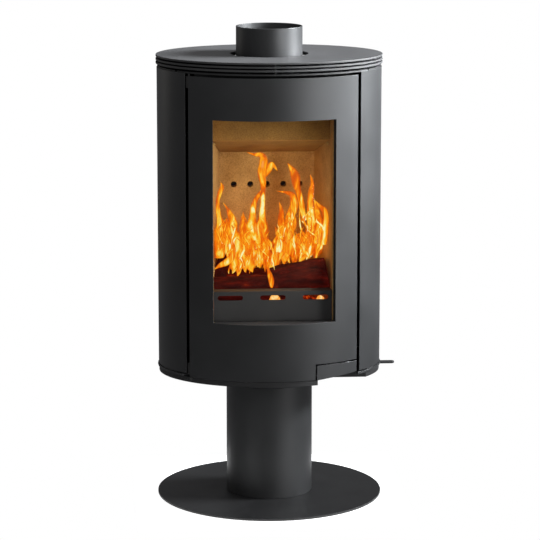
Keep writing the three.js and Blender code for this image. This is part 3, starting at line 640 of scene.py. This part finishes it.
# ---------- Door ----------
WINDOW_HALF = 136.5 * MM
WINDOW_LOW, WINDOW_HIGH = 0.434, 0.889
HANDLE_GAP = 3.2 * MM
CORNER_STEPS = 8
SEAL_HALF = 4.8 * MM
SEAL_CORNER = 14 * MM
SEAL_STEP = 3 * MM
SEAL_SIDES = 20
STRANDS = 5
STRAND_TWIST = 1.3
STRAND_MIDDLE, STRAND_DEPTH = 0.93, 0.07


def door_skin():
    low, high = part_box("door_skin")
    handle_low, handle_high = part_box("handle_plate")
    notch_x = handle_low.x - HANDLE_GAP
    notch_z = handle_high.z + HANDLE_GAP
    angles = [angle_at(x, SKIN_A) for x in (low.x, -WINDOW_HALF, notch_x, WINDOW_HALF, high.x)]
    heights = [low.z, notch_z, WINDOW_LOW, WINDOW_HIGH, high.z]

    def cut(x, z):
        in_window = abs(x) < WINDOW_HALF and WINDOW_LOW < z < WINDOW_HIGH
        return in_window or (x > notch_x and z < notch_z)

    skin = curved_sheet("fine_door_skin", angles, heights, cut)
    stand_for(soften_edges(skin, 0.5), "door_skin")


def rounded_loop(half, low, high, radius, y, step):
    """Points round a rectangle with round corners, standing in the plane y."""
    corners = [(half - radius, low + radius, -90), (half - radius, high - radius, 0),
               (-half + radius, high - radius, 90), (-half + radius, low + radius, 180)]
    points = []
    for i, (x, z, start) in enumerate(corners):
        for k in range(CORNER_STEPS + 1):
            turn = math.radians(start + 90 * k / CORNER_STEPS)
            points.append(Vector((x + radius * math.cos(turn), y, z + radius * math.sin(turn))))
        next_x, next_z, next_start = corners[(i + 1) % 4]
        turn = math.radians(next_start)
        goal = Vector((next_x + radius * math.cos(turn), y, next_z + radius * math.sin(turn)))
        gap = goal - points[-1]
        count = int(gap.length / step)
        points += [points[-1] + gap * (k / count) for k in range(1, count)]
    return points


def door_seal():
    low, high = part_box("door_seal")
    path = rounded_loop(high.x - SEAL_HALF, low.z + SEAL_HALF, high.z - SEAL_HALF, SEAL_CORNER,
                        (low.y + high.y) / 2, SEAL_STEP)

    def braid(step, turn):
        rising = math.sin(STRANDS * turn + step * STRAND_TWIST)
        falling = math.sin(STRANDS * turn - step * STRAND_TWIST)
        return STRAND_MIDDLE + STRAND_DEPTH * rising * falling

    seal = tube("braided_door_seal", path, SEAL_HALF, (high.y - low.y) / 2, SEAL_SIDES, True, braid)
    stand_for(smooth(seal, 80), "door_seal")


# ---------- Handle ----------
# How much the plate's lower edge rises towards its right end, and how near it counts as that edge.
HANDLE_RISE = 8.5 * MM
EDGE_REACH = 0.1 * MM
# The tabs that join the plate to its shaft, measured from the shaft's middle.
TAB_STARTS = {"handle_tab_left": -24 * MM, "handle_tab_right": 12 * MM}
TAB_THICKNESS = 3 * MM
TAB_DEPTHS = (-5.6 * MM, 3 * MM)
TAB_HEIGHTS = (-15 * MM, -2.8 * MM)
TAB_FACES = [(0, 1, 3, 2), (4, 6, 7, 5), (0, 4, 5, 1), (2, 3, 7, 6), (0, 2, 6, 4), (1, 5, 7, 3)]
SPRING_START = -15.4 * MM
SPRING_LENGTH = 16.8 * MM
SPRING_TURNS = 13
SPRING_WIRE = 0.55 * MM
SPRING_RADIUS = 3.6 * MM
STEPS_A_TURN = 20


def shaft_frame():
    """Where the handle's shaft is: its middle, the direction along it, and the one inward from it."""
    joint = joint_of["handle_pivot"]
    along = -Vector(joint["axis"]).normalized()
    return Vector(joint["pos_m"]), along, Vector((-along.y, along.x, 0.0))


def handle():
    low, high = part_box("handle_plate")
    angles = [angle_at(x, SKIN_A) for x in (low.x, high.x)]
    plate = curved_sheet("fine_handle_plate", angles, [low.z, high.z])
    for vertex in plate.data.vertices:
        if vertex.co.z < low.z + EDGE_REACH:
            vertex.co.z += HANDLE_RISE * (vertex.co.x - low.x) / (high.x - low.x)
    stand_for(soften_edges(plate, 0.6, 3), "handle_plate")
    middle, along, inward = shaft_frame()
    for name, start in TAB_STARTS.items():
        verts = []
        for z in TAB_HEIGHTS:
            for x in (start, start + TAB_THICKNESS):
                for y in TAB_DEPTHS:
                    verts.append(middle + along * x + inward * y + Vector((0, 0, z)))
        tab = make_solid(add_mesh(name, verts, TAB_FACES))
        place(soften_edges(tab, 0.4), "handle", MATERIALS["body_paint"])
    steps = SPRING_TURNS * STEPS_A_TURN
    path = []
    for i in range(steps + 1):
        turn = 2 * math.pi * i / STEPS_A_TURN
        x = SPRING_START + SPRING_LENGTH * i / steps
        spoke = inward * math.cos(turn) + Vector((0, 0, 1)) * math.sin(turn)
        path.append(middle + along * x + spoke * SPRING_RADIUS)
    spring = tube("coiled_return_spring", path, SPRING_WIRE, SPRING_WIRE, 8)
    stand_for(smooth(spring, 80), "return_spring")


# ---------- Fire: logs, ember bed and flames ----------
rng = random.Random(7)
# Half the firebox's width between its side boards: even up to the bend's depth, and narrowing behind it.
LINING_FRONT = 133.5 * MM
LINING_BEND = -60 * MM
LINING_TAPER = 0.168
# Logs: both ends and the radius, in metres.
LOGS = {
    "log_left": ((-0.128, -0.050, 0.480), (0.016, -0.056, 0.488), 0.035),
    "log_right": ((0.006, -0.040, 0.494), (0.129, -0.050, 0.522), 0.041),
    "log_behind": ((-0.100, 0.030, 0.486), (0.090, 0.036, 0.492), 0.032),
    "log_leaning": ((-0.118, -0.016, 0.500), (-0.098, 0.010, 0.556), 0.017),
}
LOG_STEPS, LOG_SIDES = 40, 36
LOG_CORE = 0.9
BARK_SCALE, BARK_DEPTH, BARK_STRETCH = 55, 0.16, 0.75
BARK_FRACTAL = (0.9, 2.1, 5)
LUMP_SCALE, LUMP_DEPTH = 14, 0.14
NEAR_SPINE = 1e-5
# Glowing coals: the centre and the radius, in metres.
COALS = {
    "coal_middle": ((0.006, -0.104, 0.4715), 0.0115),
    "coal_right": ((0.108, -0.105, 0.4715), 0.0085),
}
COAL_SCALE, COAL_DEPTH = 90, 0.35
BED_COLUMNS, BED_ROWS = 90, 66
BED_LEFT, BED_RIGHT = -0.126, 0.126
BED_FRONT, BED_BACK = -0.112, 0.070
BED_UNDERSIDE, BED_LEVEL = 0.4404, 0.4408
BED_EDGE = 0.004
BED_FADE = 0.02
WALL_GAP = 1 * MM


def rough_log(name, start, end, radius, seed):
    """A log with furrowed bark; each seed reads another part of the noise."""
    start, end = Vector(start), Vector(end)
    path = [start.lerp(end, i / (LOG_STEPS - 1)) for i in range(LOG_STEPS)]
    log = tube(name, path, radius, radius, LOG_SIDES)
    shift = Vector((seed * 3.1, seed * 1.7, seed * 0.9))
    axis = (end - start).normalized()
    for vertex in log.data.vertices:
        here = vertex.co
        spine = start + axis * (here - start).dot(axis)
        out = here - spine
        if out.length < NEAR_SPINE:
            continue
        stretched = here + axis * (-BARK_STRETCH * (here - start).dot(axis))
        rise = noise.fractal(stretched * BARK_SCALE + shift, *BARK_FRACTAL) * BARK_DEPTH
        lump = noise.noise(here * LUMP_SCALE + shift) * LUMP_DEPTH
        vertex.co = spine + out * (LOG_CORE + rise + lump)
    place(smooth(log, 60), "stove", MATERIALS["charred_wood"])


def ember_rise(x, y):
    """How high the embers are heaped at a point, away from the bed's rim."""
    coarse = 0.45 * noise.noise(Vector((x, y, 0.3)) * 70)
    fine = 0.3 * noise.noise(Vector((x, y, 0.7)) * 190)
    return 0.004 + 0.016 * max(0.0, 0.55 + coarse + fine)


def ember_bed():
    """A heaped sheet of embers from wall to wall, flat underneath and thin at its rim."""
    columns, rows = BED_COLUMNS, BED_ROWS
    verts, faces = [], []
    for j in range(rows):
        y = BED_FRONT + (BED_BACK - BED_FRONT) * j / (rows - 1)
        limit = lining_half(y) - WALL_GAP
        for i in range(columns):
            x = BED_LEFT + (BED_RIGHT - BED_LEFT) * i / (columns - 1)
            rim = min(limit - abs(x), y - BED_FRONT + BED_EDGE, BED_BACK - y + BED_EDGE)
            fade = max(0.0, min(1.0, rim / BED_FADE))
            verts.append((x * min(1.0, limit / BED_RIGHT), y, BED_LEVEL + fade * ember_rise(x, y)))
    for j in range(rows - 1):
        for i in range(columns - 1):
            a = j * columns + i
            faces.append((a, a + 1, a + columns + 1, a + columns))
    count = len(verts)
    verts += [(x, y, BED_UNDERSIDE) for x, y, _ in verts]
    faces += [tuple(c + count for c in reversed(face)) for face in list(faces)]
    border = (list(range(columns)) + [j * columns + columns - 1 for j in range(1, rows)]
              + [(rows - 1) * columns + i for i in range(columns - 2, -1, -1)]
              + [j * columns for j in range(rows - 2, 0, -1)])
    for k, a in enumerate(border):
        b = border[(k + 1) % len(border)]
        faces.append((b, a, a + count, b + count))
    bed = make_solid(add_mesh("ember_bed", verts, faces))
    place(smooth(bed, 70), "stove", MATERIALS["embers"])


def hot_coal(name, centre, radius, seed):
    """A glowing lump seen through a slot of the guard."""
    work = bmesh.new()
    bmesh.ops.create_icosphere(work, subdivisions=4, radius=radius)
    shift = Vector((seed * 2.3, seed * 0.7, seed * 1.9))
    for vertex in work.verts:
        vertex.co *= 1.0 + COAL_DEPTH * noise.noise(vertex.co * COAL_SCALE + shift)
        vertex.co += Vector(centre)
    coal = add_mesh(name, [], [])
    work.to_mesh(coal.data)
    work.free()
    place(smooth(coal, 70), "stove", MATERIALS["hot_coal"])


def curve_through(points, steps):
    """Catmull-Rom samples through rows of numbers."""
    rows = [points[0]] + list(points) + [points[-1]]
    spans = len(points) - 1
    samples = []
    for i in range(steps):
        along = i / (steps - 1) * spans
        k = min(int(along), spans - 1)
        t = along - k
        quad = rows[k:k + 4]
        samples.append([0.5 * (2 * b + (c - a) * t + (2 * a - 5 * b + 4 * c - d) * t * t
                               + (3 * b - a - 3 * c + d) * t ** 3) for a, b, c, d in zip(*quad)])
    return samples


def lining_half(y):
    """Half the width between the side bricks at a depth y, in metres."""
    return LINING_FRONT if y < LINING_BEND else LINING_FRONT - (y - LINING_BEND) * LINING_TAPER


STEPS_A_SPAN = 9
TONGUE_SIDES = 14
TONGUE_FLATNESS = 0.34
TONGUE_GAP = 2 * MM
THINNEST = 0.3
TALL_WARMTH = 0.74
# How the glow falls away from a tongue's core to its rim, and from its root to its tip.
RIM_POWER = 2.6
TIP_LOSS, TIP_POWER = 0.62, 1.6


def flame(name, y, points, warmth):
    """One tongue of flame: a flattened tube along a curve of (x, z, half width), in millimetres."""
    steps, sides = STEPS_A_SPAN * (len(points) - 1) + 1, TONGUE_SIDES
    limit = (lining_half(y) - TONGUE_GAP) / MM
    samples = curve_through([(points[0][0], points[0][1], 1.0)] + list(points), steps)
    verts, glow, faces = [], [], []
    for i, (x, z, half) in enumerate(samples):
        before, after = samples[max(0, i - 1)], samples[min(steps - 1, i + 1)]
        along = Vector((after[0] - before[0], after[1] - before[1])).normalized()
        half = max(THINNEST, half)
        x = max(half - limit, min(limit - half, x))
        fade = 1.0 - TIP_LOSS * (i / (steps - 1)) ** TIP_POWER
        for k in range(sides):
            turn = 2 * math.pi * k / sides
            across, out = math.cos(turn) * half, math.sin(turn) * half * TONGUE_FLATNESS
            verts.append(((x + along.y * across) * MM, y + out * MM, (z - along.x * across) * MM))
            glow.append(max(0.0, (1.0 - abs(math.cos(turn)) ** RIM_POWER) * warmth * fade))
    for i in range(steps - 1):
        for k in range(sides):
            n = (k + 1) % sides
            faces.append((i * sides + k, i * sides + n, (i + 1) * sides + n, (i + 1) * sides + k))
    faces.append(tuple(range(sides))[::-1])
    faces.append(tuple((steps - 1) * sides + k for k in range(sides)))
    tongue = add_mesh(name, verts, faces)
    level = tongue.data.attributes.new("glow", "FLOAT", "POINT")
    level.data.foreach_set("value", glow)
    tongue.data.shade_smooth()
    place(tongue, "stove", MATERIALS["flame"])


# Tall tongues: depth in metres, then points of (x, z, half width) in millimetres from root to tip.
TALL_FLAMES = [
    (-0.034, [(-118, 560, 12), (-118, 610, 9), (-115, 640, 7), (-118, 662, 6), (-119, 688, 5),
              (-114, 706, 6), (-109, 720, 5), (-112, 730, 1)]),
    (-0.012, [(-90, 580, 14), (-85, 610, 13), (-84, 636, 11), (-91, 655, 7), (-97, 668, 3),
              (-106, 680, 0.6)]),
    (-0.020, [(-30, 580, 18), (-20, 620, 15), (-17, 655, 8), (-16, 695, 6), (-15, 720, 7), (-18, 748, 11),
              (-14, 772, 11), (-18, 788, 8), (-35, 791, 4), (-52, 796, 0.6)]),
    (-0.016, [(-12, 742, 6), (-2, 756, 8), (4, 768, 6), (11, 762, 4), (18, 752, 0.6)]),
    (-0.030, [(-42, 600, 16), (-40, 650, 9), (-36, 680, 7), (-26, 700, 5), (-21, 710, 0.8)]),
    (-0.026, [(20, 570, 12), (25, 610, 10), (25, 642, 8), (26, 662, 6), (21, 682, 0.8)]),
    (-0.014, [(40, 580, 18), (43, 620, 13), (48, 650, 11), (56, 672, 11), (52, 695, 8), (38, 702, 4),
              (26, 704, 2), (16, 706, 0.5)]),
    (-0.022, [(80, 640, 6), (74, 660, 7), (72, 680, 7), (66, 702, 7), (60, 722, 10), (58, 738, 12),
              (52, 753, 9), (40, 771, 0.8)]),
    (-0.028, [(96, 580, 14), (94, 630, 11), (92, 665, 9), (93, 700, 8), (96, 725, 5), (91, 745, 0.6)]),
    (-0.064, [(118, 592, 8), (122, 620, 8), (124, 645, 7), (120, 667, 8), (109, 679, 5), (101, 690, 0.8)]),
    (-0.040, [(108, 590, 14), (112, 630, 10), (106, 660, 8), (100, 690, 0.8)]),
    (-0.092, [(-1, 498, 3), (-1, 507, 6), (-2, 517, 7), (-5, 527, 6), (-8, 538, 4), (-9, 550, 0.6)]),
    (-0.070, [(-128, 538, 1), (-118, 545, 5), (-104, 552, 8), (-92, 562, 9), (-84, 580, 5),
              (-84, 596, 0.6)]),
    (-0.036, [(66, 660, 1), (68, 630, 2), (76, 606, 2.4), (86, 602, 2.4), (93, 622, 2), (94, 650, 0.8)]),
]
# Ranges that the random tongues are drawn from. Depths are in metres, phases in radians, and the rest in
# millimetres, but a body flame's height is a share of the way from its root to the crest.
PHASES = (0.0, 6.28)
SPACING = (0.1, 0.9)
BODY_FLAMES = 84
BODY_REACH = 124
BODY = {"root": (-12, 14), "height": (0.35, 1.05), "depth": (-0.040, 0.020), "half": (5.0, 14.0),
        "drift": (3.0, 13.0), "warmth": (0.30, 0.90)}
WISPS = 40
WISP_REACH = 118
WISP_WARMTH = 1.05
WISP = {"root": (4, 74), "height": (22, 60), "depth": (-0.070, -0.050), "half": (1.6, 3.6),
        "drift": (3.0, 11.0)}
# How wide a random tongue is from its root to its tip, and how it sways.
SWELLS = (0.12, 0.9, 1.0, 0.6, 0.08)
SWAY_TURN = 4.4
SWAY_AT_ROOT = 0.4
# The flames' crest from wall to wall, and the tops of the logs that they stand behind, in millimetres.
CREST = [(-130, 632), (-100, 655), (-68, 655), (-40, 650), (-6, 640), (6, 602), (16, 602),
         (26, 664), (46, 660), (58, 616), (70, 606), (82, 616), (94, 664), (130, 636)]
LOG_TOP = [(-130, 570), (-100, 570), (-94, 522), (6, 522), (30, 548), (130, 560)]


def height_on(line, x):
    """The height of a line of (x, z) points at x."""
    for (x0, z0), (x1, z1) in zip(line, line[1:]):
        if x0 <= x <= x1:
            return z0 + (z1 - z0) * (x - x0) / (x1 - x0)
    return line[-1][1]


def wandering(x, z, height, half, drift, phase):
    """Points of a swaying tongue that swells above its root and tapers to its tip."""
    points = []
    for i, swell in enumerate(SWELLS):
        s = i / (len(SWELLS) - 1)
        sway = drift * math.sin(phase + SWAY_TURN * s) * (SWAY_AT_ROOT + s)
        points.append((x + sway, z + height * s, half * swell))
    return points


def strip_x(i, count, reach):
    """A random x in the i-th of the even strips that a row of tongues is divided into."""
    return -reach + 2 * reach * (i + rng.uniform(*SPACING)) / count


def fire():
    """Embers, logs, coals and flames. The order of the random draws settles every tongue's shape."""
    ember_bed()
    for seed, (name, (start, end, radius)) in enumerate(LOGS.items(), 1):
        rough_log(name, start, end, radius, seed)
    for seed, (name, (centre, radius)) in enumerate(COALS.items(), 1):
        hot_coal(name, centre, radius, seed)
    for i, (y, points) in enumerate(TALL_FLAMES):
        flame(f"tall_flame_{i + 1}", y, points, TALL_WARMTH)
    for i in range(BODY_FLAMES):
        x = strip_x(i, BODY_FLAMES, BODY_REACH)
        root = height_on(LOG_TOP, x) + rng.uniform(*BODY["root"])
        height = rng.uniform(*BODY["height"]) * (height_on(CREST, x) - root)
        y = rng.uniform(*BODY["depth"])
        half, drift = rng.uniform(*BODY["half"]), rng.uniform(*BODY["drift"])
        points = wandering(x, root, height, half, drift, rng.uniform(*PHASES))
        flame(f"body_flame_{i + 1}", y, points, rng.uniform(*BODY["warmth"]))
    for i in range(WISPS):
        x = strip_x(i, WISPS, WISP_REACH)
        root = height_on(LOG_TOP, x) + rng.uniform(*WISP["root"])
        y = rng.uniform(*WISP["depth"])
        height = rng.uniform(*WISP["height"])
        half, drift = rng.uniform(*WISP["half"]), rng.uniform(*WISP["drift"])
        points = wandering(x, root, height, half, drift, rng.uniform(*PHASES))
        flame(f"wisp_{i + 1}", y, points, WISP_WARMTH)


# ---------- Everything else keeps its CAD shape, with merged flats and rounded edges ----------
# The width of each node's rounded edges, in millimetres.
EDGE_WIDTHS = {
    "air_box": 0.4, "bottom_plate": 0.8, "top_deck": 0.6, "firebox_shell": 0.5, "front_frame": 0.5,
    "firebox_floor": 0.4, "side_brick_left": 1.2, "side_brick_right": 1.2, "back_brick": 1.0,
    "floor_brick_left": 1.2, "floor_brick_right": 1.2, "baffle": 1.5, "baffle_peg_left": 0.6,
    "baffle_peg_right": 0.6, "grate": 1.0, "log_guard": 0.7, "ash_pan": 0.4, "door_frame": 0.5,
    "door_glass": 0.5, "glass_seal": 0.4, "window_reveal": 0.4, "hinge_eye_upper": 0.5,
    "hinge_eye_lower": 0.5, "handle_bracket_left": 0.4, "handle_bracket_right": 0.4, "handle_shaft": 0.4,
    "latch_tongue": 0.5, "hinge_pin_upper": 0.4, "hinge_pin_lower": 0.4, "lever_pin": 0.4,
    "air_lever": 0.7, "air_valve": 0.3, "louvre_post_1": 0.2, "louvre_post_2": 0.2, "louvre_post_3": 0.2,
    "louvre_post_4": 0.2, "collar_bolt_1": 0.5, "collar_bolt_2": 0.5, "collar_bolt_3": 0.5,
    "collar_bolt_4": 0.5, "rear_screw_1": 0.7, "rear_screw_2": 0.7, "rear_screw_3": 0.7, "rear_screw_4": 0.7,
}


# ---------- Floor and light ----------
FLOOR_HALF = 0.31
FLOOR_DROP = 0.0005
# Area lights: place, target, width, height, watts, colour and spread in degrees.
WHITE = (1.0, 1.0, 1.0)
WIDE = 180.0
LIGHTS = {
    "key_right": ((2.5, -0.02, 2.0), (0.15, 0.0, 1.15), 1.2, 1.2, 48, (0.93, 0.965, 1.0), 40.0),
    "low_right": ((2.0, -1.5, 0.5), (0.1, 0.0, 0.5), 0.9, 0.9, 8, (0.99, 0.99, 1.0), WIDE),
    "front_right": ((1.75, -2.45, 1.2), (0, 0, 0.75), 0.7, 1.8, 28, WHITE, WIDE),
    "front_soft": ((-0.6, -3.6, 2.6), (0, 0, 0.6), 2.0, 2.0, 20, WHITE, WIDE),
    "top_soft": ((0.2, 0.3, 3.2), (0, 0, 0), 2.4, 2.4, 26, WHITE, WIDE),
    "rim_left": ((-2.4, 1.5, 1.4), (-0.2, 0, 0.7), 0.4, 2.0, 3, (1.0, 0.95, 0.86), WIDE),
    "fire_glow": ((0.096, -0.134, 0.64), (-0.13, 0.0, 0.66), 0.06, 0.22, 0.34, (1.0, 0.88, 0.62), WIDE),
}
SKY_LIGHT = (0.16, 0.16, 0.165, 1.0)
BACKDROP = (1.0, 1.0, 1.0, 1.0)


def add_floor():
    corners = [(-FLOOR_HALF, -FLOOR_HALF, 0), (FLOOR_HALF, -FLOOR_HALF, 0),
               (FLOOR_HALF, FLOOR_HALF, 0), (-FLOOR_HALF, FLOOR_HALF, 0)]
    floor = add_mesh("floor", corners, [(0, 1, 2, 3)])
    floor.location.z = -FLOOR_DROP
    material = start_material("floor", {
        "Base Color": (0.9, 0.9, 0.9, 1.0), "Roughness": 0.7,
        "Emission Color": (1.0, 1.0, 1.0, 1.0), "Emission Strength": 0.85})[0]
    floor.data.materials.append(material)


def area_light(name, place_at, target, width, height, power, colour, spread_degrees):
    data = bpy.data.lights.new(name, "AREA")
    data.spread = math.radians(spread_degrees)
    data.shape = "RECTANGLE"
    data.size = width
    data.size_y = height
    data.energy = power
    data.color = colour
    light = bpy.data.objects.new(name, data)
    light.location = place_at
    light.rotation_euler = (Vector(target) - Vector(place_at)).to_track_quat("-Z", "Y").to_euler()
    bpy.context.scene.collection.objects.link(light)


def add_world():
    """The camera sees a white backdrop, and everything else a dim grey sky."""
    world = bpy.data.worlds.new("studio")
    bpy.context.scene.world = world
    world.use_nodes = True
    tree = world.node_tree
    background = tree.nodes["Background"]
    path = add_node(tree, "ShaderNodeLightPath")
    mix = add_node(tree, "ShaderNodeMix", data_type="RGBA")
    mix.inputs[MIX_A].default_value = SKY_LIGHT
    mix.inputs[MIX_B].default_value = BACKDROP
    tree.links.new(path.outputs["Is Camera Ray"], mix.inputs["Factor"])
    tree.links.new(mix.outputs[MIX_OUT], background.inputs["Color"])


def add_lights():
    add_world()
    for name, settings in LIGHTS.items():
        area_light(name, *settings)
    bpy.data.objects["fire_glow"].visible_camera = False


# ---------- The scene ----------
bpy.context.scene.view_settings.view_transform = "Standard"
add_camera()
add_floor()
add_lights()
pedestal()
side_panels()
rear_panel()
top_pieces()
door_skin()
door_seal()
handle()
for node_name, edge_width in EDGE_WIDTHS.items():
    refine(node_name, edge_width)
fire()
